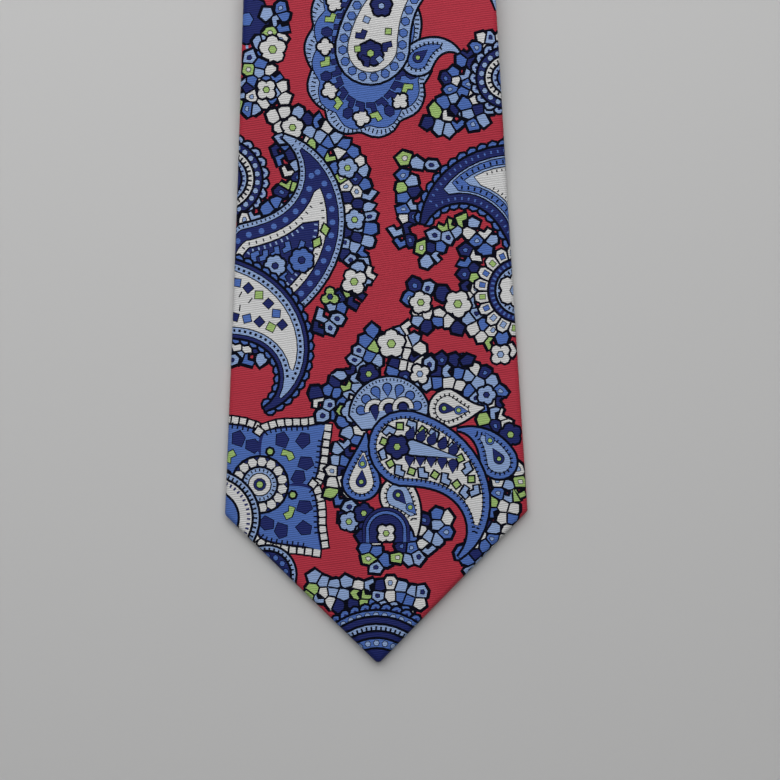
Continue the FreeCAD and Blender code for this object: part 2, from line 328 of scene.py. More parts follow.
class Brush:
    """Lays flat shapes of one colour each on the cloth, most with a dark line round them."""

    def __init__(self, shapes, seed, frame=(1.0, 0.0, 0.0, 1.0, 0.0, 0.0)):
        self.shapes, self.random, self.frame = shapes, random.Random(seed), frame

    def at(self, x, y, degrees=0.0, flip=False):
        """A brush whose origin is at x, y here and whose +X is turned by degrees; flip mirrors its Y."""
        a, b, c, d, tx, ty = self.frame
        ca, sa = math.cos(math.radians(degrees)), math.sin(math.radians(degrees))
        m, n = (sa, -ca) if flip else (-sa, ca)
        made = Brush(self.shapes, 0, (a * ca + b * sa, a * m + b * n, c * ca + d * sa, c * m + d * n,
                                      a * x + b * y + tx, c * x + d * y + ty))
        made.random = self.random
        return made

    def plain(self, colour, points):
        a, b, c, d, tx, ty = self.frame
        self.shapes.append((colour, [(a * x + b * y + tx, c * x + d * y + ty) for x, y in points]))

    def shape(self, colour, points, line=LINE):
        if line:
            self.plain("ink", grown(points, line))
        self.plain(colour, points)

    def dot(self, colour, x, y, r, line=LINE):
        self.shape(colour, moved(ring(r, 7), x, y), line)

    def band(self, colour, path, width, line):
        for tint, half in (("ink", width / 2 + line), (colour, width / 2)):
            self.plain(tint, shifted(path, half) + shifted(path, -half)[::-1])

    def row(self, colour, path, gap, points, line=0.0, phase=0.5):
        """One small shape again and again along a line, its X along the line."""
        for x, y, way in along(path, gap, phase):
            self.shape(colour, moved(points, x, y, way), line)

    def ticks(self, path, gap, length, width, colour="ink"):
        """Short strokes across a line."""
        x, y = width / 2, length / 2
        self.row(colour, path, gap, [(-x, -y), (x, -y), (x, y), (-x, y)])

    def scallops(self, path, gap, r, colour="mid"):
        """Petals side by side along a line, bulging to its left, each with a dark core."""
        petal = [(-r, -0.6 * r), (-r, 0.2 * r), (-0.6 * r, 0.85 * r), (0, 1.1 * r),
                 (0.6 * r, 0.85 * r), (r, 0.2 * r), (r, -0.6 * r)]
        self.row(colour, path, gap, petal, LINE)
        self.row("navy", path, gap, [(x * 0.36, y * 0.5) for x, y in petal])

    def squares(self, path):
        for x, y, way in along(path, SQUARE_GAP):
            half = [SQUARE * self.random.uniform(0.43, 0.54) for _ in range(4)]
            corners = [(-half[0], -half[1]), (half[1], -half[2]), (half[2], half[3]), (-half[3], half[0])]
            self.shape("white", moved(corners, x, y, way))

    def floret(self, x, y, r, colour, centre="lime", petals=5, degrees=0.0):
        """Round petals about a small centre."""
        size = r * (0.38 if petals > 5 else 0.45)
        spots = moved([(px * (r - size), py * (r - size)) for px, py in ring(1, petals)], x, y, degrees)
        for line, tint in ((LINE, "ink"), (0, colour)):
            for px, py in spots:
                self.plain(tint, moved(ring(size + line, 8), px, py))
        self.plain(colour, moved(ring(r * 0.5, 8), x, y))
        if centre:
            self.shape(centre, moved(ring(r * 0.28, 6), x, y), 0.35)

    def stones(self, rows, *path, colours="wlmnlwmmlwnlg"):
        """Rows of uneven stones packed along a path, with a small stone set in some."""
        seeds = []
        for k in range(rows):
            lane = shifted(path, (k - (rows - 1) / 2) * STONE * LANE)
            for x, y, way in along(lane, STONE, self.random.uniform(0.3, 0.7)):
                seeds.append((INITIALS[self.random.choice(colours)], x + self.random.uniform(-JITTER, JITTER),
                              y + self.random.uniform(-JITTER, JITTER)))
        cells = []
        for i, (colour, x, y) in enumerate(seeds):
            outline = ring(STONE * 0.78, self.random.choice((5, 6, 7)), self.random.uniform(0.72, 1.0))
            if self.random.random() < 0.22:
                outline = larger(CORNER, 1.4)
            cell = [(px * f, py * f) for px, py in outline for f in [self.random.uniform(0.82, 1.12)]]
            cell = moved(cell, x, y, self.random.uniform(0, 180))
            for j, (_, ox, oy) in enumerate(seeds):
                if j != i and math.dist((x, y), (ox, oy)) < NEIGHBOUR * STONE:
                    cell = clipped(cell, (x + ox) / 2, (y + oy) / 2, ox - x, oy - y)
            if len(cell) > 2 and abs(area(cell)) > LEAST_STONE:
                cells.append((colour, grown(cell, -STONE_GAP)))
        for _, cell in cells:
            self.plain("ink", grown(cell, LINE + 0.35))
        for colour, cell in cells:
            self.plain(colour, cell)
            if abs(area(cell)) > WIDE_STONE and self.random.random() < 0.4:
                x, y = (sum(p[k] for p in cell) / len(cell) for k in (0, 1))
                small = [(x + (px - x) * 0.34, y + (py - y) * 0.34) for px, py in cell]
                self.shape(INSET_COLOURS[colour], small, 0.25)


SQUARE, SQUARE_GAP = 2.0, 2.6
STONE, JITTER = 3.6, 0.75  # the stones' spacing and scatter
LANE, NEIGHBOUR = 0.92, 1.6  # in spacings: between rows, and how near two stones are cut back
STONE_GAP = 0.32  # each stone's edge draws back by this
LEAST_STONE, WIDE_STONE = 1.6, 8.0  # areas in mm2: the least kept, and what may hold a small stone
INITIALS = {"w": "white", "l": "light", "m": "mid", "n": "navy", "g": "lime"}
INSET_COLOURS = {"white": "light", "light": "navy", "mid": "light", "navy": "mid", "lime": "white"}
CORNER = [(-1.6, -1.2), (-0.2, -1.4), (0.1, 0.0), (1.4, 0.1), (1.5, 1.4), (-1.0, 1.4)]
CHIP = [(-0.9, -0.75), (0.75, -0.9), (0.9, 0.8), (-0.75, 0.85)]


# ---- the motifs: b is a brush, and each is drawn about its own origin
def layered(b, size, *layers):
    """Teardrop edges one inside another, from outside in. A layer is its colour, its inset and its dark
    line; or for ticks their gap, length and width; or for a row its gap, small shape, line and phase."""
    for colour, inset, *look in layers:
        edge = paisley(*size, inset)
        if len(look) < 2:
            b.shape(colour, edge, *look)
        elif isinstance(look[1], list):
            b.row(colour, edge, *look)
        else:
            b.ticks(edge, *look, colour)


def wheel(b, start, end, *rings):
    """Rings about the origin, widest first: the radius and colour, and a trim with its own colour."""
    for r, colour, *rest in rings:
        trim, tint = rest or (None, None)
        rim = arc(r - 0.9, end, start)
        if trim == "scallops":
            b.scallops(rim, 3.2, 1.6, tint)
        elif trim == "hexagons":
            for x, y, way in along(arc(r - 2.2, end, start), 3.9):
                petal = [(-1.5, -2.1), (1.5, -2.1), (1.7, 0.8), (0.8, 2.2), (-0.8, 2.2), (-1.7, 0.8)]
                b.shape(tint, moved(petal, x, y, way))
                chip = moved([(px * 0.8, py) for px, py in CHIP], x, y, way)
                b.shape(b.random.choice(("light", "lime", "mid")), chip, 0.3)
        if colour:
            b.shape(colour, ring(r, 36))
        if trim == "ticks":
            b.ticks(rim, 1.5, 1.1, 0.6, tint)
        elif trim == "beads":
            b.row(tint, arc(r - 1.2, end, start), 2.7, ring(0.85, 6), 0.25)


def great_teardrop(b):
    """A broad band with ticks round a white field of petals, chips and a long seed."""
    size = (62, 23, 150)
    layered(b, size, ("mid", 0), ("white", 2.1, 0.3), ("ink", 1.75, 1.4, 1.1, 0.52))
    for k, (x, y, way) in enumerate(along(paisley(*size, 4.3), 3.7)):
        if k % 2:
            b.shape("lime", moved(CHIP, x, y, way + 20))
        else:
            b.shape("light", moved(CORNER, x, y, way + 180))
    stroke = [(-0.25, 0), (0.25, 0), (0.2, 2.2), (-0.2, 2.2)]
    for k in range(5):
        for side in (1, -1):
            x, y = 12.6 + 3.4 * k, (3.5 - 0.35 * k) * side + 0.2 * k * k
            b.shape("navy", moved(drop(2.9, 1.35), x, y, 80 * side + 12), 0.3)
            b.plain("ink", moved(stroke, x + 1.7, y, 12 if side > 0 else 192))
    b.shape("light", moved(drop(15, 2.2), 13.4, 0.4, 12))
    b.floret(8.6, 0.2, 3.6, "navy", "lime", 5, 20)


def leaf(b, size, band="mid", inside="white", seeds=2):
    """A small teardrop with a ticked band and round seeds."""
    length, _, bend = size
    layered(b, size, (band, 0), (inside, 1.9, 0.3), ("ink", 1.5, 1.4, 1.1, 0.52))
    for k in range(seeds):
        x, y = length * (0.26 + 0.26 * k), math.tan(math.radians(bend) * 0.3) * length * 0.12 * k
        b.shape("navy" if k % 2 == 0 else "mid", moved(drop(3.8 - k, 1.5 - 0.3 * k), x, y, bend * 0.2), 0.3)
        b.dot("lime", x, y, 0.65, 0.25)


def dark_crescent(b):
    """A light edge with ticks, a dark band with dots, and a white hollow with flowers."""
    layered(b, (73, 33, 150), ("light", 0), ("ink", 0.55, 1.45, 0.8, 0.45), ("navy", 1.7, 0.35),
            ("mid", 3.5, 4.1, ring(0.95, 7)), ("white", 5.4, 0.4), ("ink", 6.4, 2.3, 1.0, 0.42),
            ("navy", 7.9, 0.5), ("light", 8.6, 1.9, 1.0, 0.5), ("mid", 11.0, 3.7, CORNER, 0.45))
    b.floret(29, 2, 3.7, "mid", "navy", 7, 10)
    b.floret(20.5, 2.4, 3.3, "light", "navy", 7, 10)
    for x, y, way in ((35, 6.2, 20), (38.5, 9.4, 60)):
        b.shape("lime", moved([(-1.6, -0.8), (0.6, -1.1), (1.6, 0.7), (-0.6, 1.0)], x, y, way))


def curled_teardrop(b):
    """Scallops, then a light band with ticks, then a white field of chips, curling under itself."""
    size = (66, 25, 170)
    b.scallops(paisley(*size)[::-1], 3.05, 1.6)
    layered(b, size, ("navy", 0), ("light", 1.2, 0.35), ("ink", 2.2, 1.75, 0.85, 0.8), ("white", 3.4, 0.35))
    for k, (x, y, way) in enumerate(along(paisley(*size, 6.4), 4.1)):
        colour = ("lime", "navy", "mid", "navy")[k % 4]
        b.shape(colour, moved(larger(CHIP, 1.35), x, y, way + 35 * k), 0.4)
    layered(b, size, ("ink", 9.4, 3.6, 2.0, 0.4))


def striped_horn(b):
    """A dark horn of scallops, stripes and a white hollow."""
    size = (70, 34, 145)
    b.scallops(paisley(*size)[::-1], 3.3, 1.75)
    layered(b, size, ("navy", 0), ("mid", 1.2, 2.1, 0.9, 0.5), ("light", 3.0, 0.45), ("mid", 3.7, 0.35),
            ("ink", 4.6, 2.0, 1.2, 0.55), ("light", 5.7, 0.35), ("white", 6.5, 0.35),
            ("ink", 7.2, 1.6, 0.8, 0.4), ("navy", 9.6, 4.6, CHIP, 0.3), ("lime", 9.6, 9.2, CHIP, 0.3, 0.2))


def lobed_teardrop(b):
    """A body of blossoms with a lobed edge."""
    size = (105, 35, 222)
    b.shape("light", lobed(paisley(*size), 17, 2.2))
    b.ticks(lobed(paisley(*size, 0.9), 17, 2.2), 1.35, 1.4, 0.42)
    b.shape("mid", lobed(paisley(*size, 2.0), 17, 2.0), 0.35)
    for k, (x, y, way) in enumerate(along(paisley(*size, 3.9), 4.6)):
        if k % 3 == 0:
            b.floret(x, y, 2.5, "white", None, 4, way)
        elif k % 3 == 1:
            b.shape("navy", moved(ring(1.5, 6, 1.2), x, y, way), 0.3)
        else:
            b.shape("lime", moved(CORNER, x, y, way), 0.4)
    layered(b, size, ("navy", 7.2, 3.6, CORNER, 0.3))


def seed_teardrop(b):
    """A white field of chips between two florets, in a light band with beads."""
    size = (74, 22.5, 185)
    layered(b, size, ("light", 0), ("mid", 1.9, 3.7, ring(1.25, 6), 0.35), ("white", 3.7, 0.35))
    b.floret(9.4, 0, 3.8, "navy", "lime", 7)
    for k, (x, y, way) in enumerate(along(paisley(*size, 6.6)[4:-4], 4.6)):
        colour = ("lime", "navy", "light", "navy")[k % 4]
        b.shape(colour, moved(CORNER if k % 2 else CHIP, x, y, way), 0.4)
    b.floret(24, 3.6, 3.2, "navy", "light")


def shell(b):
    """A fan of drops over white arches."""
    b.shape("light", [(-9, -3)] + arc(12.5, 172, 8) + [(10, -3)])
    b.ticks(arc(11.8, 170, 10), 1.15, 0.8, 0.38)
    for k in range(7):
        turn = 162 - 24 * k
        x, y = 9.3 * math.cos(math.radians(turn)), 9.3 * math.sin(math.radians(turn))
        b.shape("mid", moved(drop(2.7, 1.25), x, y, turn + 180), 0.4)
    for x in (-4.4, 0, 4.4):
        b.band("white", arc(2.6, 190, -10, x, 2.6), 1.2, 0.4)
        b.shape("navy", moved(drop(3.6, 1.3), x, 2.8, -90), 0.3)


def square_edged_petal(b):
    """A petal with a square corner out along +X, edged with squares."""
    for side in (1, -1):
        rim = ((22.5, 4.2), (17, 8.8), (11.5, 11.2), (7, 9))
        edge = curve([(28, 0.4)] + [(x, y * side) for x, y in rim])
        b.plain("navy", [(4, 0)] + edge)
        b.squares(shifted(edge[:-3], 1.3 * side))
    half = curve([(28, 0), (22.5, 3.6), (17, 8.2), (11.5, 10.6), (5, 5)])
    b.plain("mid", half + [(x, -y) for x, y in half[:0:-1]])
    for side in (1, -1):
        b.ticks([(x, y * side) for x, y in half[3:-4]], 1.6, 1.9, 0.5)
    stone = [(-2.3, -1.4), (0.5, -2.1), (2.5, -0.3), (1.4, 1.8), (-1.7, 1.6)]
    for x, y, way in ((19.5, 1, 10), (14.6, 5.6, 40), (15.2, -4.8, -50), (10.4, -6.6, 15)):
        b.shape("navy", moved(stone, x, y, way), 0.3)
    leafy = [(-2.2, -0.9), (-0.6, -1.7), (2.2, -0.8), (1.6, 0.9), (0.2, -0.1), (-1.4, 0.8)]
    b.shape("lime", moved(leafy, 12.4, 0.8, 100), 0.4)
    b.dot("lime", 9.4, 5.4, 0.9)


def square_edged_flower(b):
    b.shape("navy", ring(15.5, 24))
    for turn in (222, 132, 42, -48):
        square_edged_petal(b.at(0, 0, turn))
    b.shape("navy", ring(8.6, 20))
    b.row("white", arc(7.2, 0, 360), 3.1, ring(1.5, 6), 0.4)
    b.shape("light", ring(5.2, 20))
    b.ticks(arc(4.6, 0, 360), 1.3, 0.9, 0.42)
    b.shape("white", ring(3.4, 14), 0.4)
    b.shape("navy", ring(1.9, 10), 0.2)
    b.dot("lime", 0, 0, 1.0, 0.3)


def ringed_rosette(b, r=13.2, core="navy"):
    wheel(b, 0, 360, (r, None, "scallops", "light"), (r - 1.4, "navy", "beads", "light"),
          (r - 4, "white", "ticks", "ink"), (r - 6.2, "light", "ticks", "navy"), (r - 8, core))


def arched_flower(b):
    for r, colour in ((7.4, "navy"), (6.3, "mid"), (5.2, "navy")):
        b.shape(colour, [(-r, -3.4)] + arc(r, 170, 10) + [(r, -3.4)], 0.35)
    b.floret(0, -0.6, 3.0, "white", "lime", 4, 45)


# ---- the motifs' places on the cloth: the front's tip is at the origin, and Y runs up the tie
def runs_of_stones(b, *runs):
    """Each run is its number of rows and the points of its path."""
    for run in runs:
        b.stones(*run)


def florets(b, *spots):
    """Each is its place, its radius, its petals' and centre's colours, the petals' number and their turn."""
    for spot in spots:
        b.floret(*spot)


def top_motifs(b):
    """The lobed paisley with its leaf, and the two flowers beside it."""
    b.at(-38.5, 201, 0).floret(0, 0, 7.5, "navy", "mid", 8)
    b.ticks(arc(8.6, 20, -95, -38.5, 201), 1.7, 1.1, 0.8, "light")
    b.stones(2, (-31, 206), (-27.5, 200), (-30, 194), (-35.5, 191))
    b.floret(-30.4, 191.6, 4.2, "white", "lime", 5, 20)
    b.stones(3, (-40, 186), (-34, 184), (-29.5, 179), (-38, 177), (-39, 172))
    b.floret(-32.6, 179.2, 3.2, "white", "lime", 4, 45)
    lobed_teardrop(b.at(5.8, 167.6, 115, flip=True))
    leaf(b.at(12.3, 183.7, 62, flip=True), (21, 9.7, 122), "light", "mid", 1)
    seed_teardrop(b.at(0.1, 180.6, 90, flip=True))
    b.stones(3, (38, 196), (36.5, 190), (31, 185), (27, 181), (30, 176), (26, 172.5), (22, 169), (20, 166))
    b.stones(3, (38, 172), (33, 172), (29, 170))
    ringed_rosette(b.at(42.5, 182), 10.5, "mid")


def middle_motifs(b):
    """Two crescents from the left and a horn and a flower from the right."""
    ringed_rosette(b.at(-46.4, 151.8))
    runs_of_stones(
        b, (2, (-29.5, 163), (-26, 157), (-24, 151), (-27, 145), (-32, 140.5), (-41, 137)),
        (3, (-31, 167), (-25, 169), (-17, 165.5), (-10.5, 160), (-6, 153.5), (-4, 146), (-4, 138), (-5, 131),
         (-7.5, 125)),
        (2, (-2, 124), (-5, 117), (-10, 113), (-14, 108), (-16.5, 103)))
    florets(b, (-24.6, 167.4, 3.4, "white", "lime", 5, 18), (-7.6, 154.6, 3.1, "light"),
            (-5.6, 138.4, 3.1, "light", "lime", 5, 20), (-6, 119, 4.0, "white", "lime", 4, 30),
            (-13.6, 114.4, 2.8, "lime", "navy", 3, 90))
    dark_crescent(b.at(-50, 117, 14))
    runs_of_stones(b, (3, (-48, 101), (-40, 98.5), (-34, 98)), (1, (-48, 94), (-43, 95)))
    curled_teardrop(b.at(-60, 115, 2, flip=True))
    runs_of_stones(
        b, (1, (8, 157), (16, 156.5), (20, 155)),
        (2, (12, 153), (10.5, 147), (12, 141), (9.5, 135), (11, 130)),
        (2, (14, 127), (19, 128), (21, 133), (27, 136), (33, 134.5), (38, 129)))
    striped_horn(b.at(66, 125.5, 118))
    runs_of_stones(
        b, (1, (11, 112), (13, 117), (18, 116), (23, 114)), (2, (12, 108), (18, 107), (24, 108), (29, 105)),
        (2, (31, 129), (30, 123), (31, 116), (29.5, 110), (33, 104), (38, 100), (42, 95)))
    florets(b, (14.8, 112.2, 3.4, "white", "lime", 5, 30), (26.4, 111.6, 4.2, "white", "lime", 5, 60),
            (39.6, 95.6, 3.3, "white", "light", 4, 45))
    wheel(b.at(46, 115.6), 90, 270, (14.2, None, "hexagons", "white"), (9.7, "navy", "ticks", "mid"),
          (7.4, "light", "ticks", "ink"))
    b.floret(44.4, 115.6, 5.2, "white", "light")


def low_motifs(b):
    """The great teardrop with its leaves and the square-edged flower."""
    square_edged_flower(b.at(-36.4, 55.8))
    wheel(b.at(-51.5, 45.6), -60, 70, (14.6, "light", "ticks", "ink"), (12.4, "white", "ticks", "navy"),
          (8, "mid"))
    wheel(b.at(-34.4, 27.6), -60, 240, (8.8, "light", "ticks", "ink"), (7, "navy", "beads", "mid"),
          (3.6, "light"))
    runs_of_stones(
        b, (3, (-19, 80.5), (-14, 81), (-9, 87), (-4, 91), (-1, 97), (3, 103.5)),
        (3, (6.5, 103), (11, 98), (9, 92), (16, 90), (24, 90.5), (31, 88), (36, 83), (37, 77), (38, 71)))
    b.stones(1, (16.5, 96), (17, 91), colours="ml")
    b.stones(1, (27.6, 96), (29, 91), colours="mn")
    runs_of_stones(
        b, (2, (-4.5, 80), (-9, 77), (-7, 71), (-10.5, 66), (-12, 59), (-11, 53), (-14, 50)),
        (2, (-11, 48), (-5, 43), (-2.5, 38), (-1, 33), (2, 29.5)),
        (3, (5.5, 36), (10, 35), (14.5, 37), (18.5, 41), (19, 46.5)),
        (3, (27, 30.5), (31, 33), (36, 38), (39, 44), (41, 50), (41.5, 55), (47, 56)))
    florets(b, (5.4, 99.4, 4.4, "white", "lime", 5, 18), (-1.8, 90, 3.1, "navy"),
            (-7, 78.4, 3.4, "light", "lime", 5, 40), (14.2, 89.8, 3.1, "white", "light", 4, 30),
            (35, 83, 2.9, "light", "navy"), (42.4, 70.4, 3.5, "navy", "lime", 5, 30),
            (-8.6, 43.8, 3.0, "light"), (-3.9, 46.4, 3.0, "navy", "lime", 5, 10))
    shell(b.at(4.6, 76.4, 4))
    leaf(b.at(17.2, 79.9, -12), (17.6, 11.7, 26), "white")
    leaf(b.at(40.1, 56.8, 103), (24, 11.1, 86), "mid", "light")
    leaf(b.at(-5, 50.6, 86, flip=True), (21.7, 11.4, 5))
    leaf(b.at(2.6, 55.2, -37, flip=True), (20.6, 11.1, 63), "white", "light")
    arched_flower(b.at(3, 40.6))
    great_teardrop(b.at(-1.8, 67.5, -1.5, flip=True))


def tip_dome(b):
    """The small dome of rings in the front's tip, under a run of stones."""
    b.stones(3, (-22, 24), (-16, 21.5), (-9, 21), (-2, 20.5), (5, 21), (11, 18.5), (15, 17))
    wheel(b.at(-0.5, -6.5), 20, 160, (23.6, None, "scallops", "mid"), (22.2, "mid", "beads", "light"),
          (20.2, "navy"), (17.8, "light", "ticks", "ink"), (15.6, "navy"), (13.4, "mid", "beads", "light"),
          (10.2, "navy"))


def design(b):
    middle_motifs(b)
    top_motifs(b)
    low_motifs(b)


# ---- how the flat cloth wraps the tie
def nearest(a, s):
    """For a point of the flat cloth, a across and s along: the nearest x, s on the face, the way out
    and how far out it is."""
    for tip, sign, corner, _ in ENDS:
        t = (s - tip) * sign - TIP_UP
        if t < corner:
            run, out = (a + t) * ROOT, (a - t) * ROOT
            if out <= 0:
                return a, s, 1.0, 0.0, 0.0
            at = min(corner, max(0.0, run * ROOT))
            far = math.hypot(a - at, t - at)
            return at, tip + sign * (at + TIP_UP), (a - at) / far, sign * (t - at) / far, far
    w = half_width(s) - ROLL
    return min(a, w), s, 1.0, 0.0, max(0.0, a - w)


def hem_depth(s):
    return ENDS[0 if s < LENGTH / 2 else 1][3]


def flap_depth(s):
    return half_width(s) - ROLL - between(s, FLAPS)


PUFF, WAVE = 0.22, 0.12  # how much the face swells along its middle, and its soft waves
SINK = 16.0  # the left flap sinks under the right one over this much


def wrap(across, s):
    """Where a point of the flat cloth lies on the tie, as s, x and n."""
    side = 1 if across >= 0 else -1
    x, at, dx, ds, out = nearest(abs(across), s)
    if out < TURN:
        swing, n = ROLL * math.sin(out / ROLL), ROLL + ROLL * math.cos(out / ROLL)
        x, at = x + swing * dx, at + swing * ds
        w = half_width(at)
        wave = math.sin(at / 31 + side * x / 19) * math.sin(x / 13 - at / 47)
        puff = PUFF * (1 - (x / w) ** 2) + WAVE * wave
        return at, side * x, n + puff * smooth((n - ROLL) / ROLL) * smooth((FOLD_IN - at) / 30)
    depth = out - TURN
    edge = flap_depth(s) if abs(ds) < 1e-6 else hem_depth(s)
    n = UNDER * smooth(depth / SINK) if side < 0 and abs(ds) < 1e-6 else 0.0
    past = depth - edge
    if past > math.pi * LIP:
        depth, n = edge - (past - math.pi * LIP), n + 2 * LIP
    elif past > 0:
        depth, n = edge + LIP * math.sin(past / LIP), n + LIP * (1 - math.cos(past / LIP))
    return at - depth * ds, side * (x - depth * dx), n


STEP = 2.5  # between points along the cloth's lines


def spread(start, end, gap):
    """Even steps of about gap, from start to end."""
    return [float(v) for v in np.linspace(start, end, max(2, int(abs(end - start) / gap) + 1))]


def tip_contour(end, depth):
    """A line round one tip, depth(run) out from the face; run is the way along its slanted edge."""
    tip, sign, corner, _ = end
    length = corner / ROOT
    line = []
    ends = ((0, -90, depth(0)), (corner, -45, depth(length)))
    slope = [((run + depth(run)) * ROOT, (run - depth(run)) * ROOT) for run in spread(0, length, STEP)]
    for centre, start, out in ends:
        angles = [math.radians(v) for v in spread(start, start + 45, 9)]
        line += [(centre + out * math.cos(a), centre + out * math.sin(a)) for a in angles]
        line += slope
        slope = []
    return [(x, tip + sign * (t + TIP_UP)) for x, t in line]


def contour(hem, flap):
    """A line down the right of the whole tie: hem(end, run) out from the slanted edges and flap(s) out
    from the others."""
    first, last = ((lambda run, end=end: hem(end, run)) for end in ENDS)
    sides = [(half_width(s) - ROLL + flap(s), s) for s in spread(*SIDES, STEP)]
    return tip_contour(ENDS[0], first) + sides[1:-1] + tip_contour(ENDS[1], last)[::-1]


def hem_cut(end, run):
    """How far the cloth reaches beyond a slanted edge, mitred at the tip and the corner."""
    length = end[2] / ROOT
    return TURN + max(0.0, min(end[3] + math.pi * LIP + TUCK, run - 0.1, (length - run) / MITRE - 0.1))


def flap_cut(s):
    """How far the cloth reaches beyond a long edge, mitred at the corners."""
    ends = (s - FRONT_CORNER - TIP_UP, SIDES[1] - s)
    return TURN + max(0.0, min(flap_depth(s) + math.pi * LIP + TUCK, min(ends) / MITRE))


CLOTH = contour(hem_cut, flap_cut)
CLOTH += [(-x, s) for x, s in CLOTH[::-1]]


GRID = 5.0  # between the cloth's own points, away from its lines


def crease_lines():
    """The lines along which the cloth turns, so that its faces follow them."""
    lines = []
    for k in range(7):
        out = TURN * k / 6
        lines.append(contour(lambda end, run: out, lambda s: out))
    for past in (0, math.pi * LIP / 2, math.pi * LIP):
        lines.append([(half_width(s) - ROLL + TURN + flap_depth(s) + past, s)
                      for s in spread(56, LENGTH - 34, STEP)])
        for tip, sign, corner, hem in ENDS:
            out, length = TURN + hem + past, corner / ROOT
            runs = spread(hem + past + 0.3, length - (hem + past) * MITRE - 0.3, 3)
            lines.append([((run + out) * ROOT, tip + sign * ((run - out) * ROOT + TIP_UP))
                          for run in runs])
    lines += [[(-x, s) for x, s in line] for line in lines]
    bends = spread(LIFT_AT - 20, LIFT_AT + 20, 2) + spread(FOLD_IN - 1, FOLD_OUT + 1, 0.8)
    bends += spread(DROP[0] - 4, DROP[1] + 4, 7) + spread(RISE[0] - 4, RISE[1] - 3, 7)
    lines += [[(x, s) for x in spread(-110, 110, GRID)] for s in bends]
    return lines


CREASES = crease_lines()


def inside(points, outline):
    """Which of the points lie in a closed outline, however often it crosses itself."""
    turns = np.zeros(len(points), int)
    x, y = points[:, 0], points[:, 1]
    for (x0, y0), (x1, y1) in zip(outline, outline[1:] + outline[:1]):
        if y0 == y1:
            continue
        left = (x1 - x0) * (y - y0) - (x - x0) * (y1 - y0)
        turns += (y0 <= y) & (y < y1) & (left > 0)
        turns -= (y1 <= y) & (y < y0) & (left < 0)
    return turns != 0


BIG = 30.0  # only a shape whose box is larger can hide another, in mm2


def uncovered(shapes):
    """The shapes of a print that no later shape hides whole."""
    low = np.array([np.min(points, axis=0) for _, points in shapes])
    high = np.array([np.max(points, axis=0) for _, points in shapes])
    hidden = np.zeros(len(shapes), bool)
    for j in np.flatnonzero((high - low).prod(axis=1) > BIG):
        within = (low[:j] > low[j]).all(axis=1) & (high[:j] < high[j]).all(axis=1) & ~hidden[:j]
        under = np.flatnonzero(within)
        if len(under):
            sizes = [len(shapes[i][1]) for i in under]
            covered = inside(np.concatenate([np.array(shapes[i][1]) for i in under]), shapes[j][1])
            hidden[under] = np.logical_and.reduceat(covered, np.cumsum([0] + sizes[:-1]))
    return [shape for shape, gone in zip(shapes, hidden) if not gone]


def mesh_piece(name, points, faces, materials, indices=None):
    mesh = bpy.data.meshes.new(name)
    mesh.from_pydata(points, [], faces)
    for material in materials:
        mesh.materials.append(material)
    if indices is not None:
        mesh.polygons.foreach_set("material_index", indices)
    mesh.polygons.foreach_set("use_smooth", [True] * len(mesh.polygons))
    piece = bpy.data.objects.new(name, mesh)
    bpy.context.scene.collection.objects.link(piece)
    return piece


def weave_places(piece, places):
    """Keeps each point's place on the flat cloth, in millimetres, for the weave in the materials."""
    layer = piece.data.attributes.new("cloth", "FLOAT_VECTOR", "POINT")
    layer.data.foreach_set("vector", np.array(places, np.float32).ravel())


def printed_piece(name, outline, shapes, colours):
    """The part of the cloth inside an outline, cut along the print's edges and wrapped round the tie."""
    low, high = np.min(outline, axis=0), np.max(outline, axis=0)
    points, edges = [], []

    def add(line, closed):
        first = len(points)
        points.extend(Vector(p) for p in line)
        edges.extend((first + k, first + k + 1) for k in range(len(line) - 1))
        if closed:
            edges.append((first + len(line) - 1, first))

    shown = []
    for colour, shape in shapes:
        least, most = np.min(shape, axis=0), np.max(shape, axis=0)
        if (least < high).all() and (most > low).all() and len(shape) > 2:
            shown.append((colour, shape, least, most))
            add(shape, True)
    add(outline, True)
    for line in CREASES:
        part = [p for p in line if low[1] - 6 < p[1] < high[1] + 6]
        if len(part) > 1:
            add(part, False)
    for s in spread(low[1], high[1], GRID):
        points.extend(Vector((x, s)) for x in spread(low[0], high[0], GRID))
    verts, _, faces, _, _, _ = delaunay_2d_cdt(points, edges, [], 0, 1e-5, False)
    flat = np.array(verts)
    faces = np.array([(face[0], face[k], face[k + 1]) for face in faces for k in range(1, len(face) - 1)])
    middles = flat[faces].mean(axis=1)
    kept = inside(middles, outline)
    faces, middles = faces[kept], middles[kept]
    order = np.argsort(middles[:, 1])
    faces, middles = faces[order], middles[order]
    tint = np.full(len(faces), colours.index("coral"))
    for colour, shape, least, most in shown:
        a, b = np.searchsorted(middles[:, 1], (least[1], most[1]))
        near = a + np.flatnonzero((middles[a:b, 0] >= least[0]) & (middles[a:b, 0] <= most[0]))
        if len(near):
            tint[near[inside(middles[near], shape)]] = colours.index(colour)
    used, faces = np.unique(faces, return_inverse=True)
    faces = faces.reshape(-1, 3)
    places = [(x, s, 0.0) for x, s in flat[used].tolist()]
    solid = [place(*wrap(x, s)) for x, s, _ in places]
    piece = mesh_piece(name, solid, faces.tolist(), [SILKS[c] for c in colours], tint.tolist())
    weave_places(piece, places)
    return piece


# ---- materials
def linear(hex_colour):
    """A hexadecimal sRGB colour as the linear one that shaders take."""
    parts = [int(hex_colour[k:k + 2], 16) / 255 for k in (1, 3, 5)]
    return tuple(c / 12.92 if c < 0.04045 else ((c + 0.055) / 1.055) ** 2.4 for c in parts) + (1.0,)


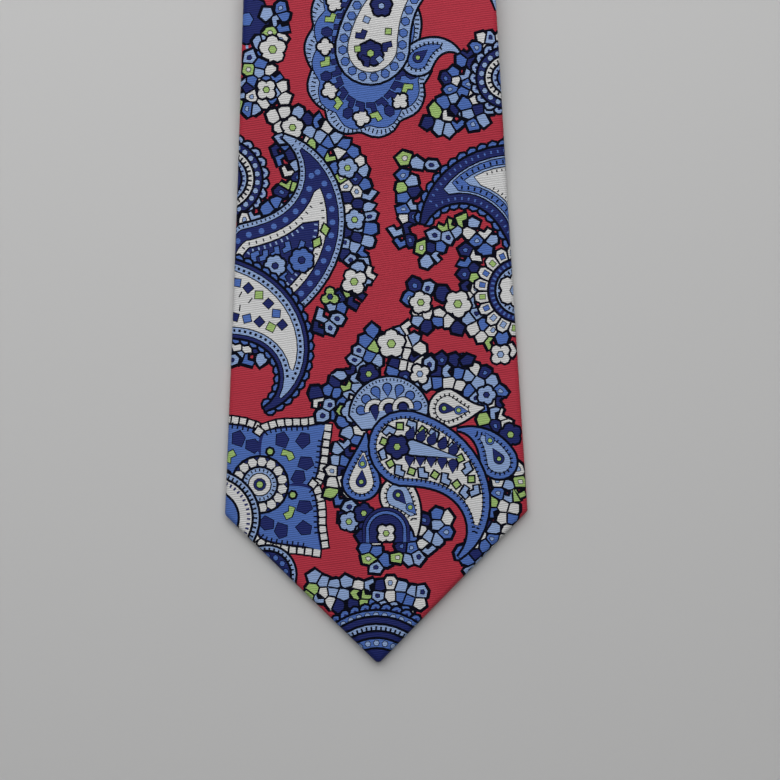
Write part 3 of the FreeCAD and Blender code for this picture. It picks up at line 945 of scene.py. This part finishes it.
class Look:
    """One Principled material and the nodes that feed it."""

    def __init__(self, name, colour, roughness, sheen=0.0, specular=0.3):
        self.material = bpy.data.materials.new(name)
        self.material.use_nodes = True
        self.tree = self.material.node_tree
        self.shader = self.tree.nodes["Principled BSDF"]
        self.colour = linear(colour)
        self.shader.inputs["Base Color"].default_value = self.colour
        self.shader.inputs["Roughness"].default_value = roughness
        self.shader.inputs["Sheen Weight"].default_value = sheen
        self.shader.inputs["Specular IOR Level"].default_value = specular

    def node(self, kind, inputs=(), **settings):
        made = self.tree.nodes.new(kind)
        for key, value in settings.items():
            setattr(made, key, value)
        for key, value in dict(inputs).items():
            if hasattr(value, "links"):
                self.tree.links.new(value, made.inputs[key])
            else:
                made.inputs[key].default_value = value
        return made

    def cloth_places(self, turn, stretch=(1, 1, 1)):
        """The place on the flat cloth in millimetres, turned by degrees."""
        place_on = self.node("ShaderNodeAttribute", attribute_name="cloth")
        turned = self.node("ShaderNodeMapping", {"Vector": place_on.outputs["Vector"], "Scale": stretch,
                                                 "Rotation": (0, 0, math.radians(turn))})
        return turned.outputs["Vector"]

    def ribs(self, pitch, turn, wobble=1.2):
        """Fine parallel ribs that run across the cloth."""
        inputs = {"Vector": self.cloth_places(turn), "Scale": math.pi / 10 / pitch, "Distortion": wobble,
                  "Detail": 1.0, "Detail Scale": 0.6}
        wave = self.node("ShaderNodeTexWave", inputs, bands_direction="Y", wave_profile="SIN")
        return wave.outputs["Fac"]

    def noise(self, scale, detail, turn=0, stretch=(1, 1, 1)):
        """Soft noise laid on the cloth."""
        made = self.node("ShaderNodeTexNoise", {"Vector": self.cloth_places(turn, stretch), "Scale": scale,
                                                "Detail": detail})
        return made.outputs["Fac"]

    def graded(self, fac, low, high, start=0.0, end=1.0):
        """A factor's range from start to end, changed to run from low to high."""
        return self.node("ShaderNodeMapRange", {"Value": fac, "From Min": start, "From Max": end,
                                                "To Min": low, "To Max": high}).outputs[0]

    def shade(self, fac, dark, light):
        """Makes the base colour go from dark to light times the plain colour as fac goes from 0 to 1."""
        tone = self.node("ShaderNodeMix", {6: self.colour, 0: 1.0}, data_type="RGBA", blend_type="MULTIPLY")
        self.tree.links.new(self.graded(fac, dark, light), tone.inputs[7])
        self.tree.links.new(tone.outputs[2], self.shader.inputs["Base Color"])

    def bump(self, height, distance):
        bump = self.node("ShaderNodeBump", {"Height": height, "Distance": distance * MM})
        self.tree.links.new(bump.outputs["Normal"], self.shader.inputs["Normal"])


def product(look, a, b):
    return look.node("ShaderNodeMath", {0: a, 1: b}, operation="MULTIPLY").outputs[0]


def silk(name, colour):
    """Printed twill: fine ribs, faint slubs and broad soft changes of tone."""
    look = Look("silk_" + name, colour, 0.5, 0.02, 0.04 if name == "ink" else 0.12)
    ribs = look.ribs(RIB, RIB_TURN)
    slub = look.noise(0.7, 3.0, RIB_TURN, (0.12, 1.3, 1))
    tone = look.graded(ribs, 0.66, 1.2)
    for fac, low, high in ((slub, 0.88, 1.12), (look.noise(0.028, 1.0), 0.92, 1.08)):
        tone = product(look, tone, look.graded(fac, low, high, 0.25, 0.75))
    look.shade(tone, 0.0, 1.0)
    look.bump(product(look, ribs, slub), 0.12)
    return look.material


def plain_cloth(name, colour, pitch, rough, sheen, depth, turn=0.0):
    """A plain weave of fine threads both ways."""
    look = Look(name, colour, rough, sheen)
    weave = product(look, look.ribs(pitch, turn, 0.4), look.ribs(pitch, turn + 90, 0.4))
    look.shade(look.graded(look.noise(0.3, 4.0), 0.86, 1.1), 0.0, 1.0)
    look.bump(weave, depth)
    return look.material


def felt(name, colour):
    """Brushed wool: fine hairs one way."""
    look = Look(name, colour, 0.95, 0.5, 0.1)
    hairs = look.noise(2.2, 6.0, 30, (1, 0.3, 1))
    look.shade(hairs, 0.8, 1.15)
    look.bump(hairs, 0.2)
    return look.material


def thread_look(name, colour):
    """Twisted thread."""
    look = Look(name, colour, 0.5, 0.3)
    twist = look.node("ShaderNodeTexNoise", {"Scale": 900.0, "Detail": 2.0}).outputs["Fac"]
    look.shade(twist, 0.75, 1.2)
    return look.material


RIB, RIB_TURN = 0.68, -7.0  # the twill's ribs: spacing in millimetres, and slope
COLOURS = {"coral": "#BE3547", "navy": "#1C276A", "mid": "#5275C2", "light": "#98B2E0", "white": "#E2E2E2",
           "lime": "#A9CA78", "ink": "#050718"}
SILKS = {name: silk(name, colour) for name, colour in COLOURS.items()}
LINING = plain_cloth("lining", "#7B1E2E", 0.35, 0.42, 0.1, 0.03, 45)
WOOL = felt("wool", "#D9D2C2")
THREAD = thread_look("thread", "#B23A48")
PALE_THREAD = thread_look("thread_pale", "#C9CCD6")
LABEL = plain_cloth("label_weave", "#20265C", 0.4, 0.4, 0.1, 0.05)
SATIN = plain_cloth("care_satin", "#E6E3DC", 0.25, 0.3, 0.1, 0.02)


# ---- the pieces
def shapes_for_front():
    """The print of the front and, further up, the repeats of it, side columns half a step along."""
    shapes = []
    brush = Brush(shapes, 5)
    for column in (-1, 1, 0):
        for step in (2, 1, 0):
            design(brush.at(COLUMN * column, REPEAT * (step + 0.5 * abs(column))))
    tip_dome(brush)
    return uncovered(shapes)


def shapes_for(x, s, degrees, steps):
    """The same cloth, cut from elsewhere on the roll."""
    shapes = []
    brush = Brush(shapes, 11).at(x, s, degrees)
    for step in range(steps):
        for column in (-1, 0, 1):
            design(brush.at(COLUMN * column, REPEAT * (step + 0.5 * abs(column) - 0.5)))
    return uncovered(shapes)


def cut_cloth(*cuts):
    """The flat cloth on the near side of each cut, which is a point on its line and the way that goes."""
    outline = CLOTH
    for x, s, nx, ns in cuts:
        outline = clipped(outline, x, s, nx, ns)
    return outline


def carry(piece, how):
    """Lets a piece ride on one body, or, where how names one of the bends, bakes its place into its points
    and leaves it unparented.
    """
    if how in BENDS:
        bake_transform(piece)
    else:
        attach(piece, how)


def shells():
    """The printed silk, in the three lengths that two slanting seams join, and split where it bends."""
    front, neck = shapes_for_front(), shapes_for(20, 640, 0, 3)
    tail = shapes_for(8, LENGTH + 30, 180, 3)
    for name, shapes, how, under_it, nodes, cuts in (
            ("front_silk", front, "lift", "floor", ["front_shell_lower"], [(0, SPLIT, 0, 1)]),
            ("front_silk_upper", front, "front_half", "tail_silk", ["front_shell_upper"],
             [(0, SPLIT, 0, -1), (0, FRONT_SEAM, -1, 1)]),
            ("neck_silk_top", neck, "fold_top", "neck_silk_under", ["neck_shell_front", "neck_fold_shell"],
             [(0, FRONT_SEAM, 1, -1), (0, FOLD_MID, 0, 1)]),
            ("neck_silk_under", neck, "fold_under", "floor", ["neck_shell_tail"],
             [(0, FOLD_MID, 0, -1), (0, TAIL_SEAM, 1, 1)]),
            ("tail_silk", tail, "tail_half", "floor", ["tail_shell"], [(0, TAIL_SEAM, -1, -1)])):
        outline = cut_cloth(*cuts)
        piece = printed_piece(name, outline, shapes, list(COLOURS))
        carry(piece, how)
        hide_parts(*nodes)


def layer(name, start, end, inset, n, material):
    """A flat lining inside the shell, from start to end, inset from the silhouette."""
    stations = sorted(set(spread(start, end, 6) + [s for s in FINE if start < s < end]))
    points, places = [], []
    across = 8
    for s in stations:
        edge = half_width(s)
        for tip, sign, corner, _ in ENDS:
            edge = min(edge, (s - tip) * sign + ROLL) if abs(s - tip) < corner + 2 * ROLL else edge
        w = max(0.8, edge - inset)
        for k in range(across + 1):
            x = w * (2 * k / across - 1)
            points.append(place(s, x, n))
            places.append((x, s, 0.0))
    rows = [i * (across + 1) for i in range(len(stations) - 1)]
    faces = [(a, a + 1, a + across + 2, a + across + 1) for row in rows for a in range(row, row + across)]
    piece = mesh_piece(name, points, faces, [material])
    weave_places(piece, places)
    return piece


def linings():
    """The tipping in each end and the wool that fills the tie."""
    tipping = (6.5, 5.0), 0.62, LINING, "tipping_lining"
    wool = (2.6, 2.6), 1.7, WOOL, "wool_interlining"
    for name, start, end, cloth, how, node, on in (
            ("front_lining", 9.0, FRONT_MEET + 20, tipping, "blade_end", "front_tipping", "front_silk"),
            ("tail_lining", TAIL_MEET - 20, LENGTH - 9.0, tipping, "tail_half", "tail_tipping", "tail_silk"),
            ("front_wool", 12.0, SPLIT, wool, "lift", "front_interlining_lower", "front_lining"),
            ("front_wool_upper", SPLIT, FOLD_IN - 4, wool, "front_half", "front_interlining_upper",
             "front_silk_upper"),
            ("neck_wool_top", FOLD_IN - 4, FOLD_MID, wool, "fold_top", "neck_fold_interlining",
             "neck_silk_top"),
            ("neck_wool_under", FOLD_MID, FOLD_OUT + 4, wool, "fold_under", None, "neck_silk_under"),
            ("tail_wool", FOLD_OUT + 4, LENGTH - 12.0, wool, "tail_half", "tail_interlining", "tail_lining")):
        insets, n, material, slot = cloth
        piece = layer(name, start, end, insets[name.startswith("tail")], n, material)
        carry(piece, how)
        if node:
            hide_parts(node)


def tube_faces(rings, sides):
    """The faces of a closed tube of so many rings, its two ends last."""
    faces = []
    for a in range(0, (rings - 1) * sides, sides):
        pairs = [(i, (i + 1) % sides) for i in range(sides)]
        faces += [(a + i, a + j, a + sides + j, a + sides + i) for i, j in pairs]
    return faces + [tuple(range(sides))[::-1], tuple(range((rings - 1) * sides, rings * sides))]


def tube(path, radius):
    """Points and faces of a closed tube along a path of (s, x, n)."""
    path = [Vector(p) for p in path]
    turns = [math.tau * i / 6 for i in range(6)]
    points = []
    for k, p in enumerate(path):
        way = (path[min(k + 1, len(path) - 1)] - path[max(k - 1, 0)]).normalized()
        a = way.cross(Vector((0, 0, 1))).normalized()
        b = way.cross(a)
        size = radius * (0.5 if k in (0, len(path) - 1) else 1.0)
        points += [p + (a * math.cos(t) + b * math.sin(t)) * size for t in turns]
    return points, tube_faces(len(path), len(turns))


def threads(name, stitches, radius, material):
    """One piece of many short stitches, each a path of (s, x, n)."""
    points, faces = [], []
    for path in stitches:
        made, joined = tube(path, radius)
        faces += [tuple(len(points) + i for i in face) for face in joined]
        points += [place(*p) for p in made]
    piece = mesh_piece(name, points, faces, [material])
    return piece


def seam_stitches(start, end):
    """Slip stitches that catch the right flap's edge."""
    made = []
    for s in spread(start, end, 6.5):
        lean = random.uniform(-0.5, 0.5)
        made.append([(s, 0.9 - OVERLAP, 0.02), (s + 0.5, 0.4 - OVERLAP, -0.14),
                     (s + 1.2 + lean, -0.5 - OVERLAP, -0.1), (s + 1.7 + lean, -1.0 - OVERLAP, UNDER - 0.1)])
    return made


def seams():
    """The slip stitches from one bar tack to the other, split where the tie bends."""
    for name, start, end, how, node in (
            ("front_slip_stitches", FRONT_MEET + 4, SPLIT, "lift", "front_slip_stitch_lower"),
            ("front_slip_stitches_upper", SPLIT + 3, FOLD_IN - 4, "front_half", "front_slip_stitch_upper"),
            ("neck_slip_stitches_top", FOLD_IN + 1, FOLD_MID - 2, "fold_top", "neck_fold_slip_stitch"),
            ("neck_slip_stitches_under", FOLD_MID + 1, FOLD_OUT - 1, "fold_under", None),
            ("tail_slip_stitches", FOLD_OUT + 5, TAIL_MEET - 5, "tail_half", "tail_slip_stitch")):
        piece = threads(name, seam_stitches(start, end), 0.16, THREAD)
        carry(piece, how)
        if node:
            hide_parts(node)


def bar_tack(name, s, body):
    """A dense bar of thread across the seam, wrapped by a second pass."""
    half = TACK / 2
    rows = [[(s + ds, -half, 0.05), (s + ds, 0, -0.2), (s + ds, half, 0.05)] for ds in (-0.35, 0.0, 0.35)]
    for x in spread(-half + 0.4, half - 0.4, 0.34):
        rows.append([(s - 0.75, x, 0.0), (s, x + 0.1, -0.38), (s + 0.75, x + 0.2, 0.0)])
    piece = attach(threads(name, rows, 0.17, THREAD), body)
    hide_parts(name.replace("_stitches", ""))


def ribbon(name, path, s, width, thick, material):
    """A band of cloth with rounded edges along a path of (x, n), width wide about s."""
    edge = thick / 2
    turns = [math.radians(v) for v in (-60, -30, 0, 30, 60)]
    ring_of = [(width / 2 - edge + edge * math.cos(a), edge * math.sin(a)) for a in turns]
    ring_of += [(v, edge) for v in spread(width / 2 - edge, edge - width / 2, 2)]
    ring_of += [(-x, -y) for x, y in ring_of]
    points, places = [], []
    for k, (x, n) in enumerate(path):
        before, after = path[max(k - 1, 0)], path[min(k + 1, len(path) - 1)]
        way = Vector((after[0] - before[0], after[1] - before[1])).normalized()
        for ds, dn in ring_of:
            points.append(place(s + ds, x - way.y * dn, n + way.x * dn))
            places.append((x, ds, dn))
    piece = mesh_piece(name, points, tube_faces(len(path), len(ring_of)), [material])
    weave_places(piece, places)
    for face in piece.data.polygons[-2:]:
        face.use_smooth = False
    return piece


def small_cloth(piece, body, node):
    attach(piece, body)
    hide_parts(node)


def end_stitches(name, node, body, across, s, width, n):
    """Short running stitches down both ends of a sewn-on piece, a little over the cloth."""
    stitch = ((-0.6, 0.15), (-0.3, -0.08), (0.3, -0.08), (0.6, 0.15))
    rows = []
    for x in (-across, across):
        for at in spread(s - width / 2 + 1, s + width / 2 - 1, 1.9):
            rows.append([(at + ds, x, n + dn) for ds, dn in stitch])
    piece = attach(threads(name, rows, 0.13, PALE_THREAD), body)
    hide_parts(node)


def middle_of(node):
    """Of a node on a flat stretch: its s, its width along the tie, half its width across, and n of its
    two faces."""
    low, high = box_mm(node)
    if node.startswith("tail"):
        s, inner, outer = LENGTH - ((low.y + high.y) / 2 - TAIL[0].y), THICK - low.z, THICK - high.z
    else:
        s = (low.y + high.y) / 2 - TIP_Y
        base = place(s, 0, 0).z / MM
        inner, outer = high.z - base, low.z - base
    return s, high.y - low.y, (high.x - low.x) / 2, inner, outer


def keeper():
    """The band across the blade's back, sewn at its two feet."""
    s, width, half, _, outer = middle_of("keeper_loop")
    thick, foot = 0.54, 5.0
    feet, band = -thick / 2 - 0.02, outer + thick / 2
    rise = [(-half, feet), (-half + foot, feet), (-half + foot + 3, band), (-half / 2, band)]
    path = curve(rise + [(0, band - 0.1)] + [(-x, n) for x, n in rise[::-1]], 6)
    piece = ribbon("keeper_band", path, s, width, thick, SILKS["coral"])
    small_cloth(piece, "blade_end", "keeper_loop")
    end_stitches("keeper_thread", "keeper_stitches", "blade_end", half - 2.4, s, width, feet - thick / 2)


def label(node, name, body, diamonds):
    """A blank label with a plain border and a row of diamonds, sewn at its two ends."""
    s, width, half, inner, outer = middle_of(node)
    thick = abs(outer - inner)
    path = [(x, (inner + outer) / 2) for x in spread(-half, half, 3)]
    piece = ribbon(name, path, s, width, thick, LABEL)
    n, r = outer - 0.02, width * 0.16
    edges = []
    for side in (-1, 1):
        edges.append([(s + side * (width / 2 - 1.3), x, n) for x in spread(-half + 0.6, half - 0.6, 3)])
    for x in spread(-half * 0.45, half * 0.45, half * 0.9 / (diamonds - 1)) if diamonds > 1 else [0.0]:
        corners = ((1, 0), (0, 0.7), (-1, 0), (0, -0.7), (1, 0))
        edges.append([(s + ds * r, x + dx * r, n) for ds, dx in corners])
    trim = threads(name + "_trim", edges, 0.16, PALE_THREAD)
    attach(trim, body)
    small_cloth(piece, body, node)
    end_stitches(name + "_thread", node + "_stitches", body, half - 1.7, s, width, outer)


def care_tag():
    """The small blank tag, a little wavy."""
    low, high = box_mm("care_tag")
    s, width = (low.y + high.y) / 2 - TIP_Y, high.y - low.y
    n = (low.z + high.z) / 2 - place(s, 0, 0).z / MM
    path = [(x, n + 0.03 * math.sin(x / 3)) for x in spread(low.x, high.x, 1.5)]
    piece = ribbon("care_tag_satin", path, s, width, 0.25, SATIN)
    small_cloth(piece, "care_tag", "care_tag")


TACK = 9.0  # a bar tack's width across the seam
SPLIT = 400.0  # where the front's silk is made in two lengths, out of sight
COLUMN, REPEAT = 104.0, 215.0  # the print's repeat across and along
# extra places along the linings where the tie bends or changes height
FINE = spread(LIFT_AT - 18, LIFT_AT + 18, 2) + spread(FOLD_IN - 1, FOLD_OUT + 1, 0.8)
FINE += spread(*DROP, 5) + spread(*RISE, 5)
# the blade bends with its lift over a half circle's length
LIFT_LINE = place(LIFT_AT, 0, THICK / 2)
REACH = Vector((0, math.pi * (HINGES["blade_lift"].z - OVER_TAIL - THICK / 2) / 2 * MM, 0))
FOLD_LINES = [place(s, 0, THICK / 2) for s in (FOLD_IN, FOLD_MID, FOLD_OUT)]
BENDS = {"lift": ("front_half", "blade_end", LIFT_LINE + REACH, LIFT_LINE - REACH),
         "fold_top": ("front_half", "neck_fold", FOLD_LINES[0], FOLD_LINES[1]),
         "fold_under": ("neck_fold", "tail_half", FOLD_LINES[1], FOLD_LINES[2])}

shells()
linings()
seams()
bar_tack("front_bar_tack_stitches", FRONT_MEET + 0.35, "blade_end")
bar_tack("tail_bar_tack_stitches", TAIL_MEET - 0.35, "tail_half")
keeper()
label("woven_label", "label_cloth", "blade_end", 5)
label("tail_label", "tail_label_cloth", "tail_half", 1)
care_tag()
